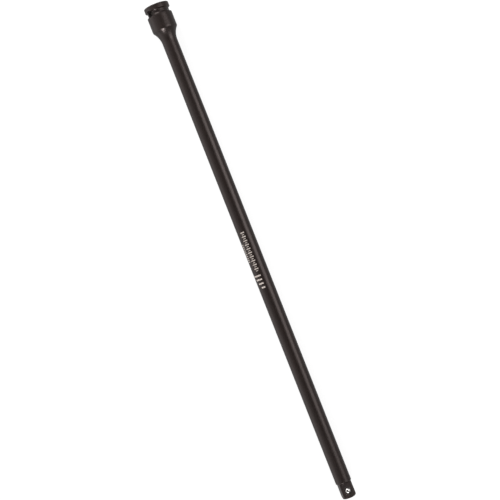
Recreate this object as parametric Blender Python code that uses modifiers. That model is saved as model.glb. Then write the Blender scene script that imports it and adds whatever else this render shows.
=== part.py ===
"""An impact extension bar with a 3/8-inch drive, 15 inches long, and its sprung detent ball.

Run it with: blender --background --python part.py
Units are metres, with +Z up. The bar lies along X and is centred on the origin. Its female
socket end is at -X, its male drive square at +X, and the detent ball faces +Z.
"""

import math

import bmesh
import bpy
from mathutils import Matrix

MM = 0.001

# Driving dimensions
LENGTH = 381.0 * MM
COLLAR_RADIUS = 9.25 * MM
SHANK_RADIUS = 5.85 * MM
NECK_RADIUS = 5.69 * MM
SQUARE_SIDE = 9.5 * MM
SOCKET_SIDE = 9.65 * MM
BALL_RADIUS = 2.381 * MM

# Collar, measured from the socket's end face
RIM_ROUND = 0.45 * MM
GROOVE_FROM_END = 5.4 * MM
GROOVE_FLAT_HALF = 0.7 * MM
GROOVE_BOTTOM_RADIUS = 7.97 * MM
GROOVE_CORNER_RADIUS = 1.05 * MM
GROOVE_WALL_SLOPE = 64.0
GROOVE_EDGE_ROUND = 0.3 * MM
COLLAR_EDGE_ROUND = 2.4 * MM

# Neck fillet and the slight swelling of the shank after it
NECK_FROM_END = 27.9 * MM
NECK_LENGTH = 14.0 * MM
FILLET_RADIUS = 14.4 * MM
FULL_SHANK_FROM_END = 100.0 * MM

# Male drive square
SQUARE_LENGTH = 11.0 * MM
SQUARE_CORNER_RADIUS = 1.25 * MM
SQUARE_END_RADIUS = 4.45 * MM
SQUARE_END_ROUND = 1.2 * MM
SQUARE_CONE_ANGLE = 45.0
SHOULDER_CHAMFER = 0.9 * MM
CORNER_CIRCLE_RADIUS = 6.3 * MM
SQUARE_ROOT_RADIUS = 5.5 * MM
SQUARE_ROOT_LENGTH = 3.0 * MM

# Female square socket
SOCKET_TURN = math.radians(56)
SOCKET_DEPTH = 12.5 * MM
SOCKET_CORNER_RADIUS = 0.35 * MM
COUNTERSINK_RADIUS = 6.95 * MM
PILOT_RADIUS = 4.7 * MM
PILOT_DEPTH = 14.0 * MM
DRILL_POINT_ANGLE = math.radians(118)
CROSS_HOLE_RADIUS = 2.6 * MM

# Detent in the male square
DETENT_FROM_END = 5.45 * MM
BALL_PROUD = 0.98 * MM
BALL_HOLE_RADIUS = 2.5 * MM
BALL_HOLE_FLOOR = -3.1 * MM
LIP_START = 4.0 * MM
LIP_RADIUS = 2.08 * MM

# Detent spring
WIRE_RADIUS = 0.2 * MM
COIL_RADIUS = 1.775 * MM
SPRING_TOP = 1.3 * MM
SPRING_SEAT_GAP = 0.1 * MM
COIL_TURNS = 5.5
CLOSED_TURNS = 0.9
CLOSED_PITCH = 0.6 * MM
POINTS_PER_TURN = 14

# Facets
BAR_STEPS = 64
HOLE_STEPS = 40
BALL_STEPS = 32
BALL_RINGS = 20
ARC_STEPS = 6
SMALL_ARC_STEPS = 3
LONG_ARC_STEPS = 12
WIRE_RESOLUTION = 2
MERGE_DISTANCE = 1e-6

# How far the cutters reach past the surfaces that they open
CUT_PAST = 1.0 * MM
LIP_CUT_PAST = 0.25 * MM

# Materials: base colour, roughness and metallic
BLACK_STEEL = ((0.035, 0.032, 0.031), 0.42, 0.6)
BALL_STEEL = ((0.62, 0.61, 0.60), 0.12, 1.0)
SPRING_STEEL = ((0.32, 0.31, 0.30), 0.3, 1.0)

# Places along X
SOCKET_FACE = -LENGTH / 2
DRIVE_FACE = LENGTH / 2
SHOULDER = DRIVE_FACE - SQUARE_LENGTH
DETENT = DRIVE_FACE - DETENT_FROM_END


def clear_scene():
    for old in list(bpy.data.objects):
        bpy.data.objects.remove(old, do_unlink=True)


def new_collection(name):
    collection = bpy.data.collections.new(name)
    bpy.context.scene.collection.children.link(collection)
    return collection


def new_material(name, look):
    colour, roughness, metallic = look
    material = bpy.data.materials.new(name)
    material.use_nodes = True
    shader = material.node_tree.nodes["Principled BSDF"]
    shader.inputs["Base Color"].default_value = (*colour, 1.0)
    shader.inputs["Roughness"].default_value = roughness
    shader.inputs["Metallic"].default_value = metallic
    material.diffuse_color = (*colour, 1.0)
    return material


def add_object(name, data, collection):
    obj = bpy.data.objects.new(name, data)
    collection.objects.link(obj)
    return obj


def mesh_object(name, shape, collection):
    mesh = bpy.data.meshes.new(name)
    shape.to_mesh(mesh)
    shape.free()
    return add_object(name, mesh, collection)


def arc(centre, radius, start, end, steps=ARC_STEPS):
    """Points (x, r) round a centre, with angles in degrees from +x towards +r."""
    points = []
    for i in range(steps + 1):
        angle = math.radians(start + (end - start) * i / steps)
        points.append((centre[0] + radius * math.cos(angle), centre[1] + radius * math.sin(angle)))
    return points


def turned(name, profile, collection, steps=BAR_STEPS):
    """A solid turned about X from points (x, r) that run from its +X end to its -X end."""
    mesh = bpy.data.meshes.new(name)
    vertices = [(r, 0.0, x) for x, r in profile]
    edges = [(i, i + 1) for i in range(len(profile) - 1)]
    mesh.from_pydata(vertices, edges, [])
    obj = add_object(name, mesh, collection)
    obj.rotation_euler.y = math.pi / 2
    screw = obj.modifiers.new("turned", "SCREW")
    screw.axis = "Z"
    screw.steps = steps
    screw.render_steps = steps
    screw.use_merge_vertices = True
    screw.merge_threshold = MERGE_DISTANCE
    return obj


def square_bar(name, start, end, side, corner_radius, turn, collection):
    """A square bar along X with rounded long edges, turned about X by an angle from +Z."""
    shape = bmesh.new()
    size = Matrix.Diagonal((end - start, side, side, 1.0))
    bmesh.ops.create_cube(shape, size=1.0, matrix=size)
    long_edges = [e for e in shape.edges if abs(e.verts[0].co.x - e.verts[1].co.x) > side / 2]
    bmesh.ops.bevel(
        shape,
        geom=long_edges,
        offset=corner_radius,
        segments=ARC_STEPS,
        profile=0.5,
        affect="EDGES",
    )
    obj = mesh_object(name, shape, collection)
    obj.location.x = (start + end) / 2
    obj.rotation_euler.x = turn
    return obj


def round_bar(name, radius, length, collection):
    """A cylinder along its own Z, centred on its origin."""
    shape = bmesh.new()
    bmesh.ops.create_cone(
        shape,
        cap_ends=True,
        segments=HOLE_STEPS,
        radius1=radius,
        radius2=radius,
        depth=length,
    )
    return mesh_object(name, shape, collection)


def hide(obj):
    obj.hide_render = True
    obj.display_type = "WIRE"


def add_boolean(obj, other, operation):
    cut = obj.modifiers.new(f"{operation.lower()} {other.name}", "BOOLEAN")
    cut.operation = operation
    cut.solver = "EXACT"
    cut.object = other
    hide(other)


def bar_profile():
    """The bar's outline, from the centre of the drive end's shoulder to the centre of the socket's face."""
    neck = SOCKET_FACE + NECK_FROM_END
    points = [(SHOULDER, 0.0)]
    points.append((SHOULDER, SHANK_RADIUS - SHOULDER_CHAMFER))
    points.append((SHOULDER - SHOULDER_CHAMFER, SHANK_RADIUS))
    points.append((SOCKET_FACE + FULL_SHANK_FROM_END, SHANK_RADIUS))
    points.append((neck + NECK_LENGTH, NECK_RADIUS))
    points += neck_profile(neck)
    points += groove_profile(SOCKET_FACE + GROOVE_FROM_END)
    rim_centre = (SOCKET_FACE + RIM_ROUND, COLLAR_RADIUS - RIM_ROUND)
    points += arc(rim_centre, RIM_ROUND, 90.0, 180.0, SMALL_ARC_STEPS)
    points.append((SOCKET_FACE, 0.0))
    return points


def neck_profile(neck_x):
    """The concave fillet up from the neck, and the round edge in which it meets the collar."""
    fillet_centre = (neck_x, NECK_RADIUS + FILLET_RADIUS)
    edge_height = COLLAR_RADIUS - COLLAR_EDGE_ROUND
    reach = FILLET_RADIUS + COLLAR_EDGE_ROUND
    turn = math.acos((fillet_centre[1] - edge_height) / reach)
    edge_centre = (neck_x - reach * math.sin(turn), edge_height)
    slope = math.degrees(turn)
    fillet = arc(fillet_centre, FILLET_RADIUS, -90.0, -90.0 - slope, LONG_ARC_STEPS)
    edge = arc(edge_centre, COLLAR_EDGE_ROUND, 90.0 - slope, 90.0)
    return fillet + edge[1:]


def groove_profile(centre_x):
    """The groove: a flat bottom, round corners and sloping walls that meet the collar in rounded edges."""
    corner = (GROOVE_FLAT_HALF, GROOVE_BOTTOM_RADIUS + GROOVE_CORNER_RADIUS)
    hollow = arc(corner, GROOVE_CORNER_RADIUS, GROOVE_WALL_SLOPE - 90.0, -90.0)
    edge_height = COLLAR_RADIUS - GROOVE_EDGE_ROUND
    edge_foot = arc((0.0, edge_height), GROOVE_EDGE_ROUND, 90.0 + GROOVE_WALL_SLOPE, 90.0, 1)[0]
    wall_rise = edge_foot[1] - hollow[0][1]
    wall_run = wall_rise / math.tan(math.radians(GROOVE_WALL_SLOPE))
    edge_centre = (hollow[0][0] + wall_run - edge_foot[0], edge_height)
    edge = arc(edge_centre, GROOVE_EDGE_ROUND, 90.0, 90.0 + GROOVE_WALL_SLOPE, SMALL_ARC_STEPS)
    drive_side = [(centre_x + x, r) for x, r in edge + hollow]
    socket_side = [(centre_x - x, r) for x, r in reversed(edge + hollow)]
    return drive_side + socket_side


def drive_square(helpers):
    """The male square: a rounded square bar inside a turned envelope, which chamfers both of its ends.

    The envelope's cones slope at SQUARE_CONE_ANGLE to the axis.
    """
    cone_tangent = math.tan(math.radians(SQUARE_CONE_ANGLE))
    start = SHOULDER - SQUARE_ROOT_LENGTH
    square = square_bar("square", start, DRIVE_FACE, SQUARE_SIDE, SQUARE_CORNER_RADIUS, 0.0, helpers)
    end_cone = (CORNER_CIRCLE_RADIUS - SQUARE_END_RADIUS) / cone_tangent
    root_cone_end = SHOULDER - SHOULDER_CHAMFER + (CORNER_CIRCLE_RADIUS - SHANK_RADIUS) / cone_tangent
    root_cone = (CORNER_CIRCLE_RADIUS - SQUARE_ROOT_RADIUS) / cone_tangent
    round_inset = SQUARE_END_ROUND * math.tan(math.radians(SQUARE_CONE_ANGLE / 2))
    round_centre = (DRIVE_FACE - SQUARE_END_ROUND, SQUARE_END_RADIUS - round_inset)
    outline = [
        (DRIVE_FACE, 0.0),
        *arc(round_centre, SQUARE_END_ROUND, 0.0, SQUARE_CONE_ANGLE, SMALL_ARC_STEPS),
        (DRIVE_FACE - end_cone, CORNER_CIRCLE_RADIUS),
        (root_cone_end, CORNER_CIRCLE_RADIUS),
        (root_cone_end - root_cone, SQUARE_ROOT_RADIUS),
        (start - CUT_PAST, SQUARE_ROOT_RADIUS),
        (start - CUT_PAST, 0.0),
    ]
    envelope = turned("square_envelope", outline, helpers)
    add_boolean(square, envelope, "INTERSECT")
    return square


def socket_cutters(helpers):
    """The female square with its countersunk mouth, the round pilot bore below it, and the cross hole."""
    mouth = SOCKET_FACE - CUT_PAST
    square = square_bar(
        "socket_square",
        mouth,
        SOCKET_FACE + SOCKET_DEPTH,
        SOCKET_SIDE,
        SOCKET_CORNER_RADIUS,
        SOCKET_TURN,
        helpers,
    )
    half = SOCKET_SIDE / 2
    countersink_outline = [
        (SOCKET_FACE + COUNTERSINK_RADIUS - half, 0.0),
        (SOCKET_FACE + COUNTERSINK_RADIUS - half, half),
        (mouth, COUNTERSINK_RADIUS + CUT_PAST),
        (mouth, 0.0),
    ]
    countersink = turned("socket_countersink", countersink_outline, helpers)
    drill_point = PILOT_RADIUS / math.tan(DRILL_POINT_ANGLE / 2)
    pilot_outline = [
        (SOCKET_FACE + PILOT_DEPTH + drill_point, 0.0),
        (SOCKET_FACE + PILOT_DEPTH, PILOT_RADIUS),
        (mouth, PILOT_RADIUS),
        (mouth, 0.0),
    ]
    pilot = turned("socket_pilot", pilot_outline, helpers)
    cross_hole = round_bar("cross_hole", CROSS_HOLE_RADIUS, 2 * COLLAR_RADIUS + 2 * CUT_PAST, helpers)
    cross_hole.location.x = SOCKET_FACE + GROOVE_FROM_END
    cross_hole.rotation_euler.x = SOCKET_TURN
    return [square, countersink, pilot, cross_hole]


def ball_hole(helpers):
    """The blind hole under the ball, with the lip that narrows round the ball at the flat."""
    flat = SQUARE_SIDE / 2
    lip_slope = (BALL_HOLE_RADIUS - LIP_RADIUS) / (flat - LIP_START)
    top = flat + LIP_CUT_PAST
    outline = [
        (top, 0.0),
        (top, BALL_HOLE_RADIUS - (top - LIP_START) * lip_slope),
        (LIP_START, BALL_HOLE_RADIUS),
        (BALL_HOLE_FLOOR, BALL_HOLE_RADIUS),
        (BALL_HOLE_FLOOR, 0.0),
    ]
    hole = turned("ball_hole", outline, helpers, HOLE_STEPS)
    hole.rotation_euler.y = 0.0
    hole.location.x = DETENT
    return hole


def build_bar(parts, helpers, steel):
    bar = turned("extension_bar", bar_profile(), parts)
    add_boolean(bar, drive_square(helpers), "UNION")
    for cutter in socket_cutters(helpers):
        add_boolean(bar, cutter, "DIFFERENCE")
    add_boolean(bar, ball_hole(helpers), "DIFFERENCE")
    bar.data.materials.append(steel)
    return bar


def build_ball(parts, steel):
    """The ball's origin is its centre, which lies on the axis that it slides along."""
    shape = bmesh.new()
    bmesh.ops.create_uvsphere(shape, u_segments=BALL_STEPS, v_segments=BALL_RINGS, radius=BALL_RADIUS)
    ball = mesh_object("detent_ball", shape, parts)
    ball.location = (DETENT, 0.0, SQUARE_SIDE / 2 + BALL_PROUD - BALL_RADIUS)
    ball.data.materials.append(steel)
    ball.data.shade_smooth()
    return ball


def spring_height(turn, height):
    """Height along the coil after a number of turns: closed turns at both ends, open ones between."""
    open_turns = COIL_TURNS - 2 * CLOSED_TURNS
    open_pitch = (height - 2 * CLOSED_TURNS * CLOSED_PITCH) / open_turns
    first = min(turn, CLOSED_TURNS) * CLOSED_PITCH
    middle = min(max(turn - CLOSED_TURNS, 0.0), open_turns) * open_pitch
    last = max(turn - CLOSED_TURNS - open_turns, 0.0) * CLOSED_PITCH
    return first + middle + last


def build_spring(parts, steel):
    bottom = BALL_HOLE_FLOOR + SPRING_SEAT_GAP + WIRE_RADIUS
    height = SPRING_TOP - WIRE_RADIUS - bottom
    count = round(COIL_TURNS * POINTS_PER_TURN) + 1
    curve = bpy.data.curves.new("detent_spring", "CURVE")
    curve.dimensions = "3D"
    curve.bevel_depth = WIRE_RADIUS
    curve.bevel_resolution = WIRE_RESOLUTION
    curve.use_fill_caps = True
    wire = curve.splines.new("POLY")
    wire.points.add(count - 1)
    for i, point in enumerate(wire.points):
        turn = COIL_TURNS * i / (count - 1)
        angle = math.tau * turn
        place = (COIL_RADIUS * math.cos(angle), COIL_RADIUS * math.sin(angle), spring_height(turn, height))
        point.co = (*place, 1.0)
    spring = add_object("detent_spring", curve, parts)
    spring.location = (DETENT, 0.0, bottom)
    curve.materials.append(steel)
    return spring


def main():
    clear_scene()
    parts = new_collection("impact_extension_bar")
    helpers = new_collection("cutters")
    build_bar(parts, helpers, new_material("black_phosphate_steel", BLACK_STEEL))
    build_ball(parts, new_material("polished_ball_steel", BALL_STEEL))
    build_spring(parts, new_material("spring_steel", SPRING_STEEL))


main()
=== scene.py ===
import math

import bmesh
import bpy
import numpy as np
from mathutils import Matrix, Vector


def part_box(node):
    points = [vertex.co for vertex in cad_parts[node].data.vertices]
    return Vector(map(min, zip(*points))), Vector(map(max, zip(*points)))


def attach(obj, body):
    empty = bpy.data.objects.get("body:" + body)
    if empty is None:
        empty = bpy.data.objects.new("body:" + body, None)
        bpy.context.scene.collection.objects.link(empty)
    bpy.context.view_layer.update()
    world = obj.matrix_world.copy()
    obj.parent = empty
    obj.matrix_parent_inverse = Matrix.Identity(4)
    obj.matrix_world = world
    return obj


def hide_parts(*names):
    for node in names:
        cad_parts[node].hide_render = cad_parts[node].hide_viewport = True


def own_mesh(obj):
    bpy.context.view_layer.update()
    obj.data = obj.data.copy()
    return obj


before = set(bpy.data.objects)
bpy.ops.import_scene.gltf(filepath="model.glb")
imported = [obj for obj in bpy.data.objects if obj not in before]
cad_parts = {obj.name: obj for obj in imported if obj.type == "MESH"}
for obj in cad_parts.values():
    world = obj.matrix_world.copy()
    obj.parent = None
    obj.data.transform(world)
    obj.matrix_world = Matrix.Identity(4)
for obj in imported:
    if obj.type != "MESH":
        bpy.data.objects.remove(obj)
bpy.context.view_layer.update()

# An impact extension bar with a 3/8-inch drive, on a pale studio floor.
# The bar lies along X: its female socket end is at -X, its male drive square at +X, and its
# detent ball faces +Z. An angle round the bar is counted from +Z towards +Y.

MM = 0.001

# ---------------------------------------------------------------- sizes taken from the frame

BAR_LOW, BAR_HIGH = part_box("extension_bar")
BALL_LOW, BALL_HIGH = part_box("detent_ball")
SPRING_LOW, SPRING_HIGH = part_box("detent_spring")

SOCKET_FACE = BAR_LOW[0]
DRIVE_FACE = BAR_HIGH[0]
COLLAR_RADIUS = BAR_HIGH[2]
BALL_RADIUS = (BALL_HIGH[0] - BALL_LOW[0]) / 2
DETENT = (BALL_HIGH[0] + BALL_LOW[0]) / 2
BALL_HEIGHT = (BALL_HIGH[2] + BALL_LOW[2]) / 2

# ---------------------------------------------------------------- sizes of the pieces

# The collar, the neck and the shank
SHANK_RADIUS = 5.85 * MM
NECK_RADIUS = 5.69 * MM
RIM_ROUND = 0.45 * MM
GROOVE = SOCKET_FACE + 5.4 * MM
GROOVE_FLAT_HALF = 0.7 * MM
GROOVE_BOTTOM_RADIUS = 7.97 * MM
GROOVE_CORNER_RADIUS = 1.05 * MM
GROOVE_WALL_SLOPE = 64
GROOVE_EDGE_ROUND = 0.3 * MM
COLLAR_EDGE_ROUND = 2.4 * MM
NECK = SOCKET_FACE + 27.9 * MM
FILLET_RADIUS = 14.4 * MM
TAPER_START = NECK + 14.0 * MM
FULL_SHANK = SOCKET_FACE + 100.0 * MM

# The milled drive square
SQUARE_HALF = 4.75 * MM
SQUARE_CORNER = 1.25 * MM
SQUARE_END_RADIUS = 4.45 * MM
SQUARE_END_ROUND = 1.2 * MM
SQUARE_CONE_ANGLE = 45
CORNER_CIRCLE_RADIUS = 6.3 * MM
SHOULDER = DRIVE_FACE - 11.0 * MM
CHAMFER = 0.9 * MM
CHAMFER_START = SHOULDER - CHAMFER
MILLED_BLEND = 0.16 * MM
END_BLEND = 0.06 * MM
SHOULDER_BLEND = 0.32 * MM
LEAST_BLEND_SHARE = 0.05

# The female socket and its cross hole
SOCKET_TURN = math.radians(56)
SOCKET_HALF = 4.825 * MM
SOCKET_CORNER = 0.35 * MM
SOCKET_DEPTH = 12.5 * MM
SOCKET_FLOOR_STEP = 0.1 * MM
COUNTERSINK_RADIUS = 6.95 * MM
COUNTERSINK_START = 0.05 * MM
COUNTERSINK_DEPTH = 2.3 * MM
COUNTERSINK_BLEND = 0.12 * MM
PILOT_RADIUS = 4.7 * MM
PILOT_START = 0.05 * MM
PILOT_DEPTH = 14.0 * MM
DRILL_POINT_SLOPE = math.tan(math.radians(31))
CROSS_HOLE_RADIUS = 2.6 * MM
CROSS_HOLE_REACH = COLLAR_RADIUS + 1.0 * MM

# The ball's hole, and the ring staked round it
HOLE_RADIUS = 2.5 * MM
HOLE_FLOOR = -3.1 * MM
LIP_START = 3.95 * MM
LIP_END = SQUARE_HALF - 0.1 * MM
LIP_RADIUS = 2.06 * MM
# The hole's mouth past the lip: how far above the flat, and how far outside the lip
LIP_FLARE = ((-0.04 * MM, 0.015 * MM), (0.02 * MM, 0.08 * MM), (0.5 * MM, 0.5 * MM))
STAKE_RING_RADIUS = 2.58 * MM
STAKE_TOOL_RADIUS = 0.3 * MM
STAKE_DEPTH = 0.22 * MM

# The spring
WIRE_RADIUS = 0.2 * MM
COIL_TURNS = 5.5
CLOSED_TURNS = 0.9
CLOSED_PITCH = 0.6 * MM

# ---------------------------------------------------------------- the etched marks

ETCH_DEPTH = 0.02 * MM
ETCH_HEIGHT = 0.012 * MM
ETCH_STEP_DEGREES = 3
SCALE_START = SOCKET_FACE + 175.3 * MM
SCALE_PITCH = 1.54 * MM
SCALE_TICKS = 20
# Width and height of the scale's long ticks and short ticks, which take turns
SCALE_TICK_SIZES = ((0.7 * MM, 3.2 * MM), (0.5 * MM, 1.8 * MM))
SCALE_ANGLE = math.radians(-31)
SMALL_START = SOCKET_FACE + 183.9 * MM
SMALL_PITCH = 1.45 * MM
SMALL_TICKS = 10
SMALL_TICK_SIZE = (0.6 * MM, 1.9 * MM)
SMALL_ANGLE = math.radians(-70)
WEDGE_START = SOCKET_FACE + 208.3 * MM
WEDGE_PITCH = 3.0 * MM
WEDGE_WIDTH = 1.1 * MM
WEDGE_HEIGHTS = (6.4 * MM, 5.2 * MM, 4.0 * MM, 2.8 * MM)
WEDGE_EDGE_ANGLE = math.radians(-19)

# ---------------------------------------------------------------- where the surface is worn, and where fill light is painted in the holes

# Edges are rubbed from the least bend upwards, in radians, and the rub spreads to their neighbours.
RUB_LEAST_BEND = 0.12
RUB_BEND_RANGE = 0.5
RUB_SPREADS = 2
RUB_REACH = 0.5 * MM
# Painted fill light: a paler colour lies in the socket and the cross hole, and fades out towards their
# mouths.
RECESS_RADIUS = 7.6 * MM
RECESS_FADE = 1.6 * MM
RECESS_START = 2.0 * MM
RECESS_END = 18.0 * MM
HOLE_WALL_MARGIN = 0.02 * MM

# ---------------------------------------------------------------- how finely the meshes are divided

AROUND = 240
END_FACE_RADII = (0.7 * MM, 1.4 * MM, 2.1 * MM, 2.8 * MM, 3.4 * MM)
END_ROUND_STEPS = 12
# Stretches from the end cone to the shank: where each one ends, and its steps
DRIVE_STRETCHES = (
    (DRIVE_FACE - 2.4 * MM, 19),
    (SHOULDER + 1.0 * MM, 25),
    (CHAMFER_START - 0.5 * MM, 31),
)
SHANK_START = CHAMFER_START - 1.5 * MM
SHANK_END = NECK + 1.0 * MM
SHANK_STEPS = 89
FILLET_STEPS = 24
COLLAR_STEPS = 13
RIM_BAND_STEPS = 5
GROOVE_CORNER_STEPS = 14
EDGE_STEPS = 8
GROOVE_BOTTOM_PLACES = (0.35 * MM, 0.0)
SOCKET_FACE_RADII = (8.5 * MM, 8.1 * MM, 7.7 * MM, 7.3 * MM, 7.08 * MM)
COUNTERSINK_STEPS = 21
SOCKET_STEPS = 29
PILOT_STEPS = 5
DRILL_POINT_RADII = (3.6 * MM, 2.4 * MM, 1.2 * MM, 0.4 * MM)
CROSS_HOLE_SEGMENTS = 72
CROSS_HOLE_STEPS = 26
BALL_HOLE_SEGMENTS = 96
LIP_STEPS = 7
STAKE_RING_SEGMENTS = 120
STAKE_RING_SIDES = 24
BALL_CUTS = 23
WIRE_SEGMENTS_PER_TURN = 36
WIRE_SIDES = 14
WIRE_SMOOTHING = 13
SLIVER = 0.0002 * MM
SHARP_ANGLE = math.radians(38)
SHARP_WIRE_ANGLE = math.radians(50)


# ---------------------------------------------------------------- outline helpers

def smooth_min(a, b, blend):
    """The smaller of two sizes, with the corner between them rounded over about the blend."""
    share = np.clip(0.5 + 0.5 * (b - a) / blend, 0.0, 1.0)
    return b + (a - b) * share - blend * share * (1.0 - share)


def smooth_max(a, b, blend):
    return -smooth_min(-a, -b, blend)


def smooth_step(share):
    """A share from 0 to 1, eased at both ends."""
    return share * share * (3 - 2 * share)


def rounded_square(angle, half, corner):
    """How far a square with round corners reaches from its centre, at an angle from a flat's middle."""
    folded = np.abs((angle + math.pi / 4) % (math.pi / 2) - math.pi / 4)
    flat = half / np.cos(folded)
    inset = half - corner
    reach = inset * (np.cos(folded) + np.sin(folded))
    inside = np.maximum(reach ** 2 - 2 * inset ** 2 + corner ** 2, 0.0)
    rounded = reach + np.sqrt(inside)
    return np.where(half * np.tan(folded) <= inset, flat, rounded)


def arc(centre, radius, start, end, steps):
    """Points (x, r) round a centre, with angles in degrees from +x towards +r."""
    angles = np.radians(np.linspace(start, end, steps + 1))
    return [(centre[0] + radius * math.cos(a), centre[1] + radius * math.sin(a)) for a in angles]


def places_to(start, end, steps):
    """Evenly spaced places after the start, up to the end."""
    return np.linspace(start, end, steps + 1)[1:]


ANGLES = np.arange(AROUND) * math.tau / AROUND
DRIVE_SQUARE = rounded_square(ANGLES, SQUARE_HALF, SQUARE_CORNER)
SOCKET_SQUARE = rounded_square(ANGLES + SOCKET_TURN, SOCKET_HALF, SOCKET_CORNER)


def drive_section(x):
    """The outline of the drive end at x: the milled square inside its turned cones, joined to the shank."""
    end_cone = SQUARE_END_RADIUS + DRIVE_FACE - x
    root_cone = SHANK_RADIUS + x - CHAMFER_START
    square = smooth_min(DRIVE_SQUARE, min(root_cone, CORNER_CIRCLE_RADIUS), MILLED_BLEND)
    square = smooth_min(square, end_cone, END_BLEND)
    chamfer = SHANK_RADIUS + CHAMFER_START - x
    shank = float(smooth_min(chamfer, SHANK_RADIUS, MILLED_BLEND))
    blend_share = np.clip((x - CHAMFER_START) / CHAMFER, LEAST_BLEND_SHARE, 1.0)
    return smooth_max(square, shank, SHOULDER_BLEND * blend_share)


def shank_radius(x):
    """The shank swells a little between the neck and its full diameter."""
    share = min(max((x - TAPER_START) / (FULL_SHANK - TAPER_START), 0.0), 1.0)
    return NECK_RADIUS + (SHANK_RADIUS - NECK_RADIUS) * smooth_step(share)


def ring(x, radius):
    return x, np.broadcast_to(np.asarray(radius, float), (AROUND,))


def drive_end_rings():
    """From the middle of the drive square's end face back to the plain shank."""
    inset = SQUARE_END_ROUND * math.tan(math.radians(SQUARE_CONE_ANGLE / 2))
    rounding_centre = (DRIVE_FACE - SQUARE_END_ROUND, SQUARE_END_RADIUS - inset)
    rounding = arc(rounding_centre, SQUARE_END_ROUND, 0, SQUARE_CONE_ANGLE, END_ROUND_STEPS)
    rings = [ring(DRIVE_FACE, r) for r in END_FACE_RADII]
    rings += [ring(x, smooth_min(DRIVE_SQUARE, r, END_BLEND)) for x, r in rounding]
    for end, steps in DRIVE_STRETCHES:
        rings += [ring(x, drive_section(x)) for x in places_to(rings[-1][0], end, steps)]
    return rings


def shank_rings():
    places = np.linspace(SHANK_START, SHANK_END, SHANK_STEPS + 1)
    return [ring(x, shank_radius(x)) for x in places]


def collar_rings():
    """The concave neck, the collar with its groove, and its rounded rim."""
    fillet_centre = (NECK, NECK_RADIUS + FILLET_RADIUS)
    edge_height = COLLAR_RADIUS - COLLAR_EDGE_ROUND
    reach = FILLET_RADIUS + COLLAR_EDGE_ROUND
    turn = math.acos((fillet_centre[1] - edge_height) / reach)
    slope = math.degrees(turn)
    edge_centre = (NECK - reach * math.sin(turn), edge_height)
    groove = groove_outline()
    rim_centre = (SOCKET_FACE + RIM_ROUND, COLLAR_RADIUS - RIM_ROUND)
    rim = arc(rim_centre, RIM_ROUND, 90, 180, EDGE_STEPS)
    outline = arc(fillet_centre, FILLET_RADIUS, -90, -90 - slope, FILLET_STEPS)
    outline += arc(edge_centre, COLLAR_EDGE_ROUND, 90 - slope, 90, EDGE_STEPS)[1:]
    outline += [(x, COLLAR_RADIUS) for x in places_to(edge_centre[0], groove[0][0], COLLAR_STEPS)[:-1]]
    outline += groove
    outline += [(x, COLLAR_RADIUS) for x in places_to(groove[-1][0], rim[0][0], RIM_BAND_STEPS)[:-1]]
    outline += rim
    return [ring(x, r) for x, r in outline]


def groove_outline():
    """The groove from its drive side to its rim side: rounded edges, sloping walls and a flat bottom."""
    corner = (GROOVE_FLAT_HALF, GROOVE_BOTTOM_RADIUS + GROOVE_CORNER_RADIUS)
    hollow = arc(corner, GROOVE_CORNER_RADIUS, GROOVE_WALL_SLOPE - 90, -90, GROOVE_CORNER_STEPS)
    edge_height = COLLAR_RADIUS - GROOVE_EDGE_ROUND
    foot = arc((0, edge_height), GROOVE_EDGE_ROUND, 90 + GROOVE_WALL_SLOPE, 90, 1)[0]
    run = (foot[1] - hollow[0][1]) / math.tan(math.radians(GROOVE_WALL_SLOPE))
    edge_centre = (hollow[0][0] + run - foot[0], edge_height)
    edge = arc(edge_centre, GROOVE_EDGE_ROUND, 90, 90 + GROOVE_WALL_SLOPE, EDGE_STEPS)
    bottom = [(x, GROOVE_BOTTOM_RADIUS) for x in GROOVE_BOTTOM_PLACES]
    half = edge + hollow + bottom
    drive_side = [(GROOVE + x, r) for x, r in half]
    rim_side = [(GROOVE - x, r) for x, r in reversed(half[:-1])]
    return drive_side + rim_side


def socket_rings():
    """From the end face through the countersunk mouth and down the square to the drill point."""
    rings = [ring(SOCKET_FACE, r) for r in SOCKET_FACE_RADII]
    for depth in np.linspace(COUNTERSINK_START, COUNTERSINK_DEPTH, COUNTERSINK_STEPS + 1):
        cone = COUNTERSINK_RADIUS - depth
        rings.append(ring(SOCKET_FACE + depth, smooth_max(SOCKET_SQUARE, cone, COUNTERSINK_BLEND)))
    for depth in places_to(COUNTERSINK_DEPTH, SOCKET_DEPTH - SOCKET_FLOOR_STEP, SOCKET_STEPS):
        rings.append(ring(SOCKET_FACE + depth, SOCKET_SQUARE))
    floor = SOCKET_FACE + SOCKET_DEPTH
    rings.append(ring(floor, SOCKET_SQUARE - SOCKET_FLOOR_STEP))
    rings.append(ring(floor, (SOCKET_SQUARE + PILOT_RADIUS) / 2))
    rings.append(ring(floor + PILOT_START, PILOT_RADIUS))
    pilot_end = SOCKET_FACE + PILOT_DEPTH
    rings += [ring(x, PILOT_RADIUS) for x in places_to(floor, pilot_end, PILOT_STEPS)[1:]]
    rings += [ring(pilot_end + (PILOT_RADIUS - r) * DRILL_POINT_SLOPE, r) for r in DRILL_POINT_RADII]
    return rings


# ---------------------------------------------------------------- mesh helpers

def new_object(name, data):
    obj = bpy.data.objects.new(name, data)
    bpy.context.scene.collection.objects.link(obj)
    return obj


def shape_object(name, shape):
    """Makes an object from a finished shape, and frees the shape."""
    bmesh.ops.recalc_face_normals(shape, faces=shape.faces)
    mesh = bpy.data.meshes.new(name)
    shape.to_mesh(mesh)
    shape.free()
    return new_object(name, mesh)


def skin_rings(shape, loops, closed=False):
    """Quads between neighbouring loops of vertices, which all have the same count."""
    pairs = list(zip(loops, loops[1:]))
    if closed:
        pairs.append((loops[-1], loops[0]))
    for first, second in pairs:
        for i in range(len(first)):
            j = (i + 1) % len(first)
            shape.faces.new((first[i], first[j], second[j], second[i]))


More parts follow.
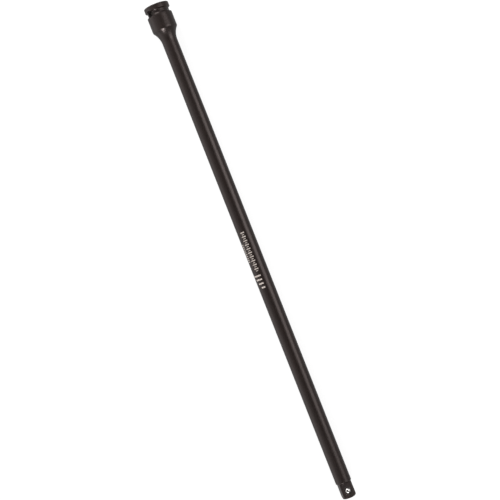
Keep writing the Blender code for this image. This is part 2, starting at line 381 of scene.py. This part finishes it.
def cap_ring(shape, loop, centre):
    """Closes a loop with a fan to a point."""
    middle = shape.verts.new(centre)
    for i in range(len(loop)):
        shape.faces.new((loop[i], loop[(i + 1) % len(loop)], middle))


def turned_solid(name, outline, segments, place):
    """A solid turned about its own Z from points (height, radius), closed at both ends."""
    shape = bmesh.new()
    loops = []
    for height, radius in outline:
        loop = []
        for i in range(segments):
            a = math.tau * i / segments
            loop.append(shape.verts.new((radius * math.cos(a), radius * math.sin(a), height)))
        loops.append(loop)
    skin_rings(shape, loops)
    cap_ring(shape, loops[0], (0, 0, outline[0][0]))
    cap_ring(shape, loops[-1], (0, 0, outline[-1][0]))
    bmesh.ops.transform(shape, matrix=place, verts=shape.verts)
    return shape_object(name, shape)


def torus_solid(name, radius, thickness, place):
    """A ring about its own Z, with a round section."""
    shape = bmesh.new()
    loops = []
    for i in range(STAKE_RING_SEGMENTS):
        a = math.tau * i / STAKE_RING_SEGMENTS
        loop = []
        for k in range(STAKE_RING_SIDES):
            b = math.tau * k / STAKE_RING_SIDES
            out = radius + thickness * math.cos(b)
            loop.append(shape.verts.new((out * math.cos(a), out * math.sin(a), thickness * math.sin(b))))
        loops.append(loop)
    skin_rings(shape, loops, closed=True)
    bmesh.ops.transform(shape, matrix=place, verts=shape.verts)
    return shape_object(name, shape)


def cut(obj, cutters):
    """Takes the cutters out of the object's mesh and removes them."""
    for cutter in cutters:
        boolean = obj.modifiers.new(cutter.name, "BOOLEAN")
        boolean.operation = "DIFFERENCE"
        boolean.solver = "EXACT"
        boolean.object = cutter
    evaluated = obj.evaluated_get(bpy.context.evaluated_depsgraph_get())
    finished = bpy.data.meshes.new_from_object(evaluated)
    shape = bmesh.new()
    shape.from_mesh(finished)
    bmesh.ops.dissolve_degenerate(shape, edges=shape.edges, dist=SLIVER)
    shape.to_mesh(finished)
    shape.free()
    obj.modifiers.clear()
    obj.data = finished
    for cutter in cutters:
        bpy.data.objects.remove(cutter, do_unlink=True)


def write_attribute(mesh, name, values):
    layer = mesh.attributes.new(name, "FLOAT", "POINT")
    layer.data.foreach_set("value", values.astype(np.float32))


def write_edge_attribute(mesh):
    """Stores how convex the surface is at each vertex, from 0 on a flat or hollow to 1 on an outer edge."""
    shape = bmesh.new()
    shape.from_mesh(mesh)
    shape.verts.ensure_lookup_table()
    bend = np.zeros(len(shape.verts))
    for edge in shape.edges:
        if len(edge.link_faces) != 2:
            continue
        angle = edge.calc_face_angle_signed(0.0)
        for vert in edge.verts:
            bend[vert.index] = max(bend[vert.index], angle)
    for _ in range(RUB_SPREADS):
        spread = bend.copy()
        for edge in shape.edges:
            a, b = (v.index for v in edge.verts)
            share = max(0.0, 1.0 - edge.calc_length() / RUB_REACH)
            spread[a] = max(spread[a], bend[b] * share)
            spread[b] = max(spread[b], bend[a] * share)
        bend = spread
    shape.free()
    write_attribute(mesh, "edge", np.clip((bend - RUB_LEAST_BEND) / RUB_BEND_RANGE, 0.0, 1.0))


def write_recess_attributes(mesh):
    """Stores how far each vertex is inside the socket or cross hole, where paler painted fill light goes,
    and which are on the hole's wall.
    """
    places = np.empty(3 * len(mesh.vertices), np.float32)
    mesh.vertices.foreach_get("co", places)
    x, y, z = places.reshape(-1, 3).T
    past_mouth = np.clip((x - SOCKET_FACE - RECESS_START) / RECESS_FADE, 0.0, 1.0)
    under_surface = np.clip((RECESS_RADIUS - np.hypot(y, z)) / RECESS_FADE, 0.0, 1.0)
    write_attribute(mesh, "painted_fill_mask", past_mouth * under_surface * (x < SOCKET_FACE + RECESS_END))
    from_hole = np.hypot(x - GROOVE, y * math.cos(SOCKET_TURN) + z * math.sin(SOCKET_TURN))
    write_attribute(mesh, "hole_wall", from_hole < CROSS_HOLE_RADIUS + HOLE_WALL_MARGIN)


# ---------------------------------------------------------------- materials

# Noise scales are in cells per metre; a stretch gives one for each axis.
CLOUD_SCALE = 140.0
MOTTLE_SCALE = 900.0
GRAIN_SCALE = 6500.0
TURNING_STRETCH = (5200.0, 60.0, 60.0)
RUB_SCALE = 1400.0
ROLLING_STRETCH = (900.0, 5200.0, 900.0)
HAZE_SCALE = 700.0
DRAWN_STRETCH = (1500.0, 1500.0, 7000.0)
OIL_SCALE = 800.0
FROST_SCALE = 5200.0
PATCH_SCALE = 900.0

PHOSPHATE_DARK = (0.0088, 0.0060, 0.0052)
PHOSPHATE_MOTTLE = (0.0132, 0.0090, 0.0080)
PHOSPHATE_BROWN = (0.0158, 0.0098, 0.0081)
PHOSPHATE_CRYSTAL = (0.024, 0.020, 0.0185)
RUBBED_STEEL = (0.115, 0.108, 0.104)
# The paler colour painted inside the socket and the cross hole as painted fill light
PAINTED_RECESS_LIGHT = (0.098, 0.086, 0.080)
SATIN_TINT = (1.0, 0.86, 0.84, 1.0)
BALL_BRIGHT = (0.66, 0.645, 0.63)
BALL_DULL = (0.56, 0.545, 0.53)
WIRE_STEEL = (0.30, 0.285, 0.27)
WIRE_OIL = (0.19, 0.155, 0.12)
ETCH_GREY = (0.42, 0.365, 0.33)
ETCH_PALE = (0.59, 0.525, 0.48)
ETCH_WORN = (0.21, 0.18, 0.16)

RUB_TONE_SHARE = 0.45
RUB_METAL_SHARE = 0.55
# How much of the painted fill light colour is mixed in inside the holes
PAINTED_RECESS_LIGHT_SHARE = 0.9
PHOSPHATE_IOR = 1.5
SATIN_ROUGHNESS = (0.27, 0.38)
DRILLED_ROUGHNESS = 0.8
BALL_ROUGHNESS = (0.07, 0.20)
WIRE_ROUGHNESS = (0.24, 0.40)
ETCH_ROUGHNESS = (0.55, 0.75)
CRYSTAL_HEIGHT = 0.007 * MM
TURNING_HEIGHT = 0.004 * MM
SCUFF_HEIGHT = 0.0008 * MM
DRAWN_HEIGHT = 0.002 * MM
FROST_HEIGHT = 0.003 * MM


class Nodes:
    """Short names for the shader nodes of one material."""

    def __init__(self, name):
        self.material = bpy.data.materials.new(name)
        self.material.use_nodes = True
        self.tree = self.material.node_tree
        self.shader = self.tree.nodes["Principled BSDF"]
        self.place = self.node("ShaderNodeTexCoord").outputs["Object"]

    def node(self, kind, **settings):
        made = self.tree.nodes.new(kind)
        for key, value in settings.items():
            setattr(made, key, value)
        return made

    def link(self, output, socket):
        self.tree.links.new(output, socket)

    def stretched(self, scale):
        """The object's coordinates, scaled along each axis."""
        mapping = self.node("ShaderNodeMapping")
        mapping.inputs["Scale"].default_value = scale
        self.link(self.place, mapping.inputs["Vector"])
        return mapping.outputs["Vector"]

    def noise(self, scale, detail, roughness, place=None):
        texture = self.node("ShaderNodeTexNoise")
        texture.inputs["Scale"].default_value = scale
        texture.inputs["Detail"].default_value = detail
        texture.inputs["Roughness"].default_value = roughness
        self.link(place or self.place, texture.inputs["Vector"])
        return texture.outputs["Fac"]

    def ranged(self, value, span, result=(0.0, 1.0)):
        """Maps a value from one range to another, and clamps it."""
        ranged = self.node("ShaderNodeMapRange")
        ranged.inputs["From Min"].default_value = span[0]
        ranged.inputs["From Max"].default_value = span[1]
        ranged.inputs["To Min"].default_value = result[0]
        ranged.inputs["To Max"].default_value = result[1]
        self.link(value, ranged.inputs["Value"])
        return ranged.outputs["Result"]

    def math(self, operation, first, second):
        """Works on two values; each is an output, and the second may be a number."""
        maths = self.node("ShaderNodeMath", operation=operation)
        self.link(first, maths.inputs[0])
        if isinstance(second, float):
            maths.inputs[1].default_value = second
        else:
            self.link(second, maths.inputs[1])
        return maths.outputs["Value"]

    def mix(self, factor, first, second):
        """Mixes two colours; each is a colour or an output."""
        mixed = self.node("ShaderNodeMix", data_type="RGBA")
        self.link(factor, mixed.inputs["Factor"])
        for socket, value in ((mixed.inputs["A"], first), (mixed.inputs["B"], second)):
            if isinstance(value, tuple):
                socket.default_value = (*value, 1.0)
            else:
                self.link(value, socket)
        return mixed.outputs["Result"]

    def bump(self, height, distance, normal=None):
        bump = self.node("ShaderNodeBump")
        bump.inputs["Distance"].default_value = distance
        bump.inputs["Strength"].default_value = 1.0
        self.link(height, bump.inputs["Height"])
        if normal is not None:
            self.link(normal, bump.inputs["Normal"])
        return bump.outputs["Normal"]

    def attribute(self, name):
        return self.node("ShaderNodeAttribute", attribute_name=name).outputs["Fac"]


def phosphate_tone(n, cloud, mottle, grain, rub):
    """Near black with a brown cast, paler crystals, rubbed edges, and paler painted fill light inside the
    socket and the cross hole.
    """
    tone = n.mix(n.ranged(mottle, (0.35, 0.65)), PHOSPHATE_DARK, PHOSPHATE_MOTTLE)
    tone = n.mix(n.ranged(cloud, (0.45, 0.75), (0.0, 0.6)), tone, PHOSPHATE_BROWN)
    tone = n.mix(n.ranged(grain, (0.60, 0.85), (0.0, 0.5)), tone, PHOSPHATE_CRYSTAL)
    tone = n.mix(n.math("MULTIPLY", rub, RUB_TONE_SHARE), tone, RUBBED_STEEL)
    # Painted fill light: the socket and the cross hole are painted paler inside
    painted_fill = n.math("MULTIPLY", n.attribute("painted_fill_mask"), PAINTED_RECESS_LIGHT_SHARE)
    return n.mix(painted_fill, tone, PAINTED_RECESS_LIGHT)


def phosphate_steel():
    """Black phosphated steel: satin, finely crystalline, with turning lines and rubbed edges."""
    n = Nodes("black_phosphate_steel")
    cloud = n.noise(CLOUD_SCALE, detail=4.0, roughness=0.6)
    mottle = n.noise(MOTTLE_SCALE, detail=4.0, roughness=0.6)
    grain = n.noise(GRAIN_SCALE, detail=2.0, roughness=0.6)
    turning = n.noise(1.0, detail=3.0, roughness=0.7, place=n.stretched(TURNING_STRETCH))
    broken = n.ranged(n.noise(RUB_SCALE, detail=3.0, roughness=0.7), (0.35, 0.65))
    rub = n.math("MULTIPLY", n.attribute("edge"), broken)
    n.link(phosphate_tone(n, cloud, mottle, grain, rub), n.shader.inputs["Base Color"])
    texture = n.math("ADD", n.math("ADD", mottle, turning), grain)
    satin = n.ranged(texture, (1.1, 1.9), SATIN_ROUGHNESS)
    dull = n.math("MULTIPLY", n.attribute("hole_wall"), DRILLED_ROUGHNESS)
    n.link(n.math("MAXIMUM", satin, dull), n.shader.inputs["Roughness"])
    n.link(n.math("MULTIPLY", rub, RUB_METAL_SHARE), n.shader.inputs["Metallic"])
    n.shader.inputs["IOR"].default_value = PHOSPHATE_IOR
    n.shader.inputs["Specular Tint"].default_value = SATIN_TINT
    crystals = n.bump(grain, CRYSTAL_HEIGHT)
    n.link(n.bump(turning, TURNING_HEIGHT, crystals), n.shader.inputs["Normal"])
    return n.material


def polished_steel():
    """A bearing ball: bright, very smooth, with faint rolling scuffs."""
    n = Nodes("polished_ball_steel")
    scuffs = n.noise(1.0, detail=3.0, roughness=0.6, place=n.stretched(ROLLING_STRETCH))
    haze = n.noise(HAZE_SCALE, detail=3.0, roughness=0.5)
    tone = n.mix(n.ranged(haze, (0.35, 0.7)), BALL_BRIGHT, BALL_DULL)
    n.link(tone, n.shader.inputs["Base Color"])
    n.shader.inputs["Metallic"].default_value = 1.0
    n.link(n.ranged(scuffs, (0.45, 0.75), BALL_ROUGHNESS), n.shader.inputs["Roughness"])
    n.link(n.bump(scuffs, SCUFF_HEIGHT), n.shader.inputs["Normal"])
    return n.material


def spring_steel():
    """Drawn spring wire with a thin film of old oil."""
    n = Nodes("spring_wire")
    drawn = n.noise(1.0, detail=3.0, roughness=0.6, place=n.stretched(DRAWN_STRETCH))
    oil = n.noise(OIL_SCALE, detail=3.0, roughness=0.6)
    tone = n.mix(n.ranged(oil, (0.4, 0.7)), WIRE_STEEL, WIRE_OIL)
    n.link(tone, n.shader.inputs["Base Color"])
    n.shader.inputs["Metallic"].default_value = 1.0
    n.link(n.ranged(drawn, (0.3, 0.7), WIRE_ROUGHNESS), n.shader.inputs["Roughness"])
    n.link(n.bump(drawn, DRAWN_HEIGHT), n.shader.inputs["Normal"])
    return n.material


def etched_steel():
    """Laser-etched marks: pale, dull and slightly broken up."""
    n = Nodes("etched_marks")
    frost = n.noise(FROST_SCALE, detail=3.0, roughness=0.7)
    patch = n.noise(PATCH_SCALE, detail=2.0, roughness=0.5)
    tone = n.mix(n.ranged(frost, (0.35, 0.65)), ETCH_GREY, ETCH_PALE)
    tone = n.mix(n.ranged(patch, (0.5, 0.8), (0.0, 0.5)), tone, ETCH_WORN)
    n.link(tone, n.shader.inputs["Base Color"])
    n.link(n.ranged(frost, (0.3, 0.7), ETCH_ROUGHNESS), n.shader.inputs["Roughness"])
    n.shader.inputs["Metallic"].default_value = 0.0
    n.link(n.bump(frost, FROST_HEIGHT), n.shader.inputs["Normal"])
    return n.material


# ---------------------------------------------------------------- pieces

def bar_solid():
    """The forging before its holes are cut: rings from the drive end to the drill point in the socket."""
    shape = bmesh.new()
    loops = []
    for x, radii in drive_end_rings() + shank_rings() + collar_rings() + socket_rings():
        corners = zip(radii, ANGLES)
        loops.append([shape.verts.new((x, r * math.sin(a), r * math.cos(a))) for r, a in corners])
    skin_rings(shape, loops)
    cap_ring(shape, loops[0], (DRIVE_FACE, 0, 0))
    tip = SOCKET_FACE + PILOT_DEPTH + PILOT_RADIUS * DRILL_POINT_SLOPE
    cap_ring(shape, loops[-1], (tip, 0, 0))
    return shape_object("bar_forging", shape)


def build_bar(material):
    bar = bar_solid()
    cut(bar, [cross_hole_cutter(), ball_hole_cutter(), stake_ring_cutter()])
    bar.data.shade_smooth()
    bar.data.set_sharp_from_angle(angle=SHARP_ANGLE)
    write_edge_attribute(bar.data)
    write_recess_attributes(bar.data)
    bar.data.materials.append(material)
    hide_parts("extension_bar")
    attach(bar, "bar")


def cross_hole_cutter():
    """A drilled hole through both walls of the collar, at the groove, square to a flat of the socket."""
    heights = np.linspace(-CROSS_HOLE_REACH, CROSS_HOLE_REACH, CROSS_HOLE_STEPS + 1)
    outline = [(height, CROSS_HOLE_RADIUS) for height in heights]
    place = Matrix.Translation((GROOVE, 0, 0)) @ Matrix.Rotation(SOCKET_TURN, 4, "X")
    return turned_solid("cross_hole", outline, CROSS_HOLE_SEGMENTS, place)


def ball_hole_cutter():
    """The blind hole under the ball, with its lip staked in round the ball."""
    outline = [(HOLE_FLOOR, HOLE_RADIUS)]
    for share in np.linspace(0.0, 1.0, LIP_STEPS + 1):
        height = LIP_START + share * (LIP_END - LIP_START)
        outline.append((height, HOLE_RADIUS + (LIP_RADIUS - HOLE_RADIUS) * smooth_step(share)))
    outline += [(SQUARE_HALF + above, LIP_RADIUS + out) for above, out in LIP_FLARE]
    return turned_solid("ball_hole", outline, BALL_HOLE_SEGMENTS, Matrix.Translation((DETENT, 0, 0)))


def stake_ring_cutter():
    """The shallow ring that the staking punch leaves round the ball."""
    height = SQUARE_HALF + STAKE_TOOL_RADIUS - STAKE_DEPTH
    place = Matrix.Translation((DETENT, 0, height))
    return torus_solid("stake_ring", STAKE_RING_RADIUS, STAKE_TOOL_RADIUS, place)


def build_ball(material):
    """A ball made from a subdivided cube pushed out to a sphere, so that its faces are all alike."""
    shape = bmesh.new()
    bmesh.ops.create_cube(shape, size=2.0)
    bmesh.ops.subdivide_edges(shape, edges=shape.edges, cuts=BALL_CUTS, use_grid_fill=True)
    for vert in shape.verts:
        spread = Vector(math.tan(c * math.pi / 4) for c in vert.co)
        vert.co = spread.normalized() * BALL_RADIUS
    ball = shape_object("polished_ball", shape)
    ball.location = (DETENT, 0, BALL_HEIGHT)
    ball.data.shade_smooth()
    ball.data.materials.append(material)
    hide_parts("detent_ball")
    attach(ball, "ball")


def wire_heights(turn):
    """How high the wire's middle is after each number of turns: closed at both ends, open between."""
    low = SPRING_LOW[2] + WIRE_RADIUS
    high = SPRING_HIGH[2] - WIRE_RADIUS
    closed_rise = CLOSED_TURNS * CLOSED_PITCH
    open_turns = COIL_TURNS - 2 * CLOSED_TURNS
    knots = np.cumsum([0, CLOSED_TURNS, open_turns, CLOSED_TURNS])
    rises = np.cumsum([0, closed_rise, high - low - 2 * closed_rise, closed_rise])
    height = np.interp(turn, knots, low + rises)
    padded = np.pad(height, WIRE_SMOOTHING // 2, mode="reflect", reflect_type="odd")
    return np.convolve(padded, np.ones(WIRE_SMOOTHING) / WIRE_SMOOTHING, mode="valid")


def spring_wire():
    """A round wire swept along the coil, with flat ends."""
    coil_radius = (SPRING_HIGH[1] - SPRING_LOW[1]) / 2 - WIRE_RADIUS
    turn = np.linspace(0, COIL_TURNS, int(COIL_TURNS * WIRE_SEGMENTS_PER_TURN) + 1)
    shape = bmesh.new()
    loops = []
    for t, z in zip(turn, wire_heights(turn)):
        out = Vector((math.cos(math.tau * t), math.sin(math.tau * t), 0))
        middle = Vector((DETENT, 0, z)) + out * coil_radius
        loop = []
        for k in range(WIRE_SIDES):
            b = math.tau * k / WIRE_SIDES
            spoke = out * math.cos(b) + Vector((0, 0, math.sin(b)))
            loop.append(shape.verts.new(middle + WIRE_RADIUS * spoke))
        loops.append(loop)
    skin_rings(shape, loops)
    for loop in (loops[0], loops[-1]):
        cap_ring(shape, loop, sum((v.co for v in loop), Vector()) / WIRE_SIDES)
    return shape_object("coil_spring", shape)


def build_spring(material):
    spring = spring_wire()
    spring.data.shade_smooth()
    spring.data.set_sharp_from_angle(angle=SHARP_WIRE_ANGLE)
    spring.data.materials.append(material)
    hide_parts("detent_spring")
    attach(spring, "bar")
    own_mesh(spring)


def etched_patch(shape, x_low, x_high, angle_low, angle_high):
    """A very thin plate that follows the shank, between two places along it and two angles round it."""
    inner = SHANK_RADIUS - ETCH_DEPTH
    outer = SHANK_RADIUS + ETCH_HEIGHT
    corners = ((x_low, outer), (x_high, outer), (x_high, inner), (x_low, inner))
    steps = max(2, int(math.degrees(abs(angle_high - angle_low)) / ETCH_STEP_DEGREES))
    loops = []
    for a in np.linspace(angle_low, angle_high, steps + 1):
        loops.append([shape.verts.new((x, r * math.sin(a), r * math.cos(a))) for x, r in corners])
    skin_rings(shape, loops)
    shape.faces.new(loops[0])
    shape.faces.new(list(reversed(loops[-1])))


def etched_bar(shape, x, width, middle, height):
    """A stroke across the row of marks: its height is measured round the shank."""
    half = height / 2 / SHANK_RADIUS
    etched_patch(shape, x - width / 2, x + width / 2, middle - half, middle + half)


def build_marks(material):
    """Generic marks in place of lettering: a fine scale, a smaller one beside it, and a wedge of bars."""
    shape = bmesh.new()
    for i in range(SCALE_TICKS):
        width, height = SCALE_TICK_SIZES[i % 2]
        etched_bar(shape, SCALE_START + i * SCALE_PITCH, width, SCALE_ANGLE, height)
    width, height = SMALL_TICK_SIZE
    for i in range(SMALL_TICKS):
        etched_bar(shape, SMALL_START + i * SMALL_PITCH, width, SMALL_ANGLE, height)
    for i, height in enumerate(WEDGE_HEIGHTS):
        middle = WEDGE_EDGE_ANGLE - height / 2 / SHANK_RADIUS
        etched_bar(shape, WEDGE_START + i * WEDGE_PITCH, WEDGE_WIDTH, middle, height)
    marks = shape_object("etched_marks", shape)
    marks.data.materials.append(material)
    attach(marks, "bar")


# ---------------------------------------------------------------- studio

# The camera looks down on the bar, leaning 9 degrees towards -Y. ACROSS is square to the bar in
# the picture. The bar runs down the picture, 21.5 degrees off its upright.
LEAN = math.radians(9.0)
TOWARDS_CAMERA = Vector((0, -math.sin(LEAN), math.cos(LEAN)))
ACROSS = Vector((0, math.cos(LEAN), math.sin(LEAN)))
ALONG = Vector((1, 0, 0))
PICTURE_TURN = math.radians(21.527)
CAMERA_DISTANCE = 0.889
CAMERA_AIM = ALONG * -1.65 * MM + ACROSS * -1.43 * MM
SENSOR_MM = 36.0
LENS_MM = 88.68
CLIP_NEAR = 0.05
CLIP_FAR = 20.0

FLOOR_HEIGHT = -COLLAR_RADIUS
FLOOR_HALF_WIDTH = 30.0
FLOOR_SQUARES = 8
FLOOR_CLOUD_SCALE = 3.0
FLOOR_DARK = (0.19, 0.19, 0.19)
FLOOR_PALE = (0.21, 0.21, 0.21)
FLOOR_ROUGHNESS = 0.9
FLOOR_GLOW = 0.86

# The tent's brightness on each side of the bar, by how far a direction leans towards the camera:
# -1 is straight away from it, 0 square to that, and 1 straight at it.
LEFT_LEVELS = ((-1.0, 0.38), (-0.5, 0.56), (-0.15, 1.04), (0.0, 1.16), (0.35, 0.82), (0.70, 0.42),
               (0.88, 0.23), (0.95, 0.15), (0.97, 0.02))
RIGHT_LEVELS = ((-1.0, 0.36), (-0.5, 0.48), (0.0, 0.38), (0.3, 0.27), (0.7, 0.40), (0.90, 0.45),
                (0.95, 0.30), (0.97, 0.02))
LEFT_TO_RIGHT = (-0.15, 0.35)
FLAG_EDGE = (0.56, 0.82)
FLAG_TONE = (0.18, 0.18, 0.18, 1.0)
BACKDROP_TONE = (0.93, 0.93, 0.93, 1.0)
WORLD_STRENGTH = 1.08

LAMP_COLOUR = (1.0, 0.99, 0.98)
RIGHT_BOX_DIRECTION = (0.0, 0.692, 0.722)
RIGHT_BOX_DISTANCE = 0.9
RIGHT_BOX_WIDTH = 0.57
# The boxes on the right: name, middle along the bar, length, power in watts
RIGHT_BOXES = (
    ("right_softbox", -0.146, 0.312, 1.81),
    ("right_drive_softbox", 0.182, 0.344, 1.41),
)
# The square boxes aimed at the socket end: name, direction, distance, side, power in watts
END_BOXES = (
    ("low_softbox", (0.854, -0.235, 0.47), 2.4, 0.34, 26.0),
    ("top_softbox", (-0.80, -0.26, 0.54), 0.8, 0.42, 5.6),
)


def studio_direction(along, across, up):
    """A direction from its parts along the bar, across it in the picture, and towards the camera."""
    return (ALONG * along + ACROSS * across + TOWARDS_CAMERA * up).normalized()


def add_camera():
    data = bpy.data.cameras.new("camera")
    data.lens = LENS_MM
    data.sensor_width = SENSOR_MM
    data.clip_start = CLIP_NEAR
    data.clip_end = CLIP_FAR
    camera = new_object("camera", data)
    right = ALONG * math.sin(PICTURE_TURN) + ACROSS * math.cos(PICTURE_TURN)
    up = TOWARDS_CAMERA.cross(right)
    turned = Matrix((right, up, TOWARDS_CAMERA)).transposed().to_4x4()
    place = CAMERA_AIM + TOWARDS_CAMERA * CAMERA_DISTANCE
    camera.matrix_world = Matrix.Translation(place) @ turned
    bpy.context.scene.camera = camera


def add_softbox(name, place, aim, size, power):
    data = bpy.data.lights.new(name, "AREA")
    data.shape = "RECTANGLE"
    data.size, data.size_y = size
    data.energy = power
    data.color = LAMP_COLOUR
    lamp = new_object(name, data)
    turn = (aim - place).to_track_quat("-Z", "Y")
    lamp.matrix_world = Matrix.Translation(place) @ turn.to_matrix().to_4x4()


def add_lights():
    """Two boxes side by side on the bar's right, and two square ones aimed at its socket end."""
    right = studio_direction(*RIGHT_BOX_DIRECTION) * RIGHT_BOX_DISTANCE
    for name, x, length, power in RIGHT_BOXES:
        add_softbox(name, right + ALONG * x, ALONG * x, (length, RIGHT_BOX_WIDTH), power)
    socket_end = Vector((SOCKET_FACE, 0, 0))
    for name, direction, distance, side, power in END_BOXES:
        place = socket_end + studio_direction(*direction) * distance
        add_softbox(name, place, socket_end, (side, side), power)


def add_floor():
    """A pale glowing floor that the collar rests on, and that no surface mirrors."""
    shape = bmesh.new()
    bmesh.ops.create_grid(shape, x_segments=FLOOR_SQUARES, y_segments=FLOOR_SQUARES, size=FLOOR_HALF_WIDTH)
    floor = shape_object("studio_floor", shape)
    floor.location.z = FLOOR_HEIGHT
    n = Nodes("pale_floor")
    cloud = n.noise(FLOOR_CLOUD_SCALE, detail=2.0, roughness=0.5)
    n.link(n.mix(cloud, FLOOR_DARK, FLOOR_PALE), n.shader.inputs["Base Color"])
    n.shader.inputs["Roughness"].default_value = FLOOR_ROUGHNESS
    n.shader.inputs["Emission Color"].default_value = (1.0, 1.0, 1.0, 1.0)
    n.shader.inputs["Emission Strength"].default_value = FLOOR_GLOW
    floor.data.materials.append(n.material)
    floor.visible_glossy = False


def world_ramp(tree, height, levels):
    """Brightness by height, eased from one level to the next."""
    ramp = tree.nodes.new("ShaderNodeValToRGB")
    ramp.color_ramp.interpolation = "EASE"
    stops = ramp.color_ramp.elements
    while len(stops) < len(levels):
        stops.new(0.5)
    for stop, (where, level) in zip(stops, levels):
        stop.position = (where + 1) / 2
        stop.color = (level, level, level, 1.0)
    tree.links.new(height, ramp.inputs["Fac"])
    return ramp.outputs["Color"]


def world_part(tree, place, direction, low, high):
    """How far a direction leans towards another one, from 0 at low to 1 at high."""
    dot = tree.nodes.new("ShaderNodeVectorMath")
    dot.operation = "DOT_PRODUCT"
    dot.inputs[1].default_value = direction
    tree.links.new(place, dot.inputs[0])
    ranged = tree.nodes.new("ShaderNodeMapRange")
    ranged.inputs["From Min"].default_value = low
    ranged.inputs["From Max"].default_value = high
    tree.links.new(dot.outputs["Value"], ranged.inputs["Value"])
    return ranged.outputs["Result"]


def world_mix(tree, factor, first, second):
    """Mixes two tones; the first is an output, and the second is an output or a colour."""
    mixed = tree.nodes.new("ShaderNodeMix")
    mixed.data_type = "RGBA"
    tree.links.new(factor, mixed.inputs["Factor"])
    tree.links.new(first, mixed.inputs["A"])
    if isinstance(second, tuple):
        mixed.inputs["B"].default_value = second
    else:
        tree.links.new(second, mixed.inputs["B"])
    return mixed.outputs["Result"]


def add_world():
    """A tent round the bar: bright on its left, dim on its right, dark round the camera, with a grey
    flag past the drive end. The camera itself sees a plain pale backdrop."""
    world = bpy.data.worlds.new("studio_tent")
    world.use_nodes = True
    bpy.context.scene.world = world
    tree = world.node_tree
    place = tree.nodes.new("ShaderNodeTexCoord").outputs["Generated"]
    height = world_part(tree, place, TOWARDS_CAMERA, -1.0, 1.0)
    right = world_part(tree, place, ACROSS, *LEFT_TO_RIGHT)
    flag = world_part(tree, place, ALONG, *FLAG_EDGE)
    seen = tree.nodes.new("ShaderNodeLightPath").outputs["Is Camera Ray"]
    left_tone = world_ramp(tree, height, LEFT_LEVELS)
    right_tone = world_ramp(tree, height, RIGHT_LEVELS)
    tone = world_mix(tree, right, left_tone, right_tone)
    tone = world_mix(tree, flag, tone, FLAG_TONE)
    tone = world_mix(tree, seen, tone, BACKDROP_TONE)
    background = tree.nodes["Background"]
    tree.links.new(tone, background.inputs["Color"])
    background.inputs["Strength"].default_value = WORLD_STRENGTH


def set_view():
    view = bpy.context.scene.view_settings
    view.view_transform = "Standard"
    view.look = "None"


def main():
    build_bar(phosphate_steel())
    build_ball(polished_steel())
    build_spring(spring_steel())
    build_marks(etched_steel())
    add_camera()
    add_floor()
    add_world()
    add_lights()
    set_view()


main()
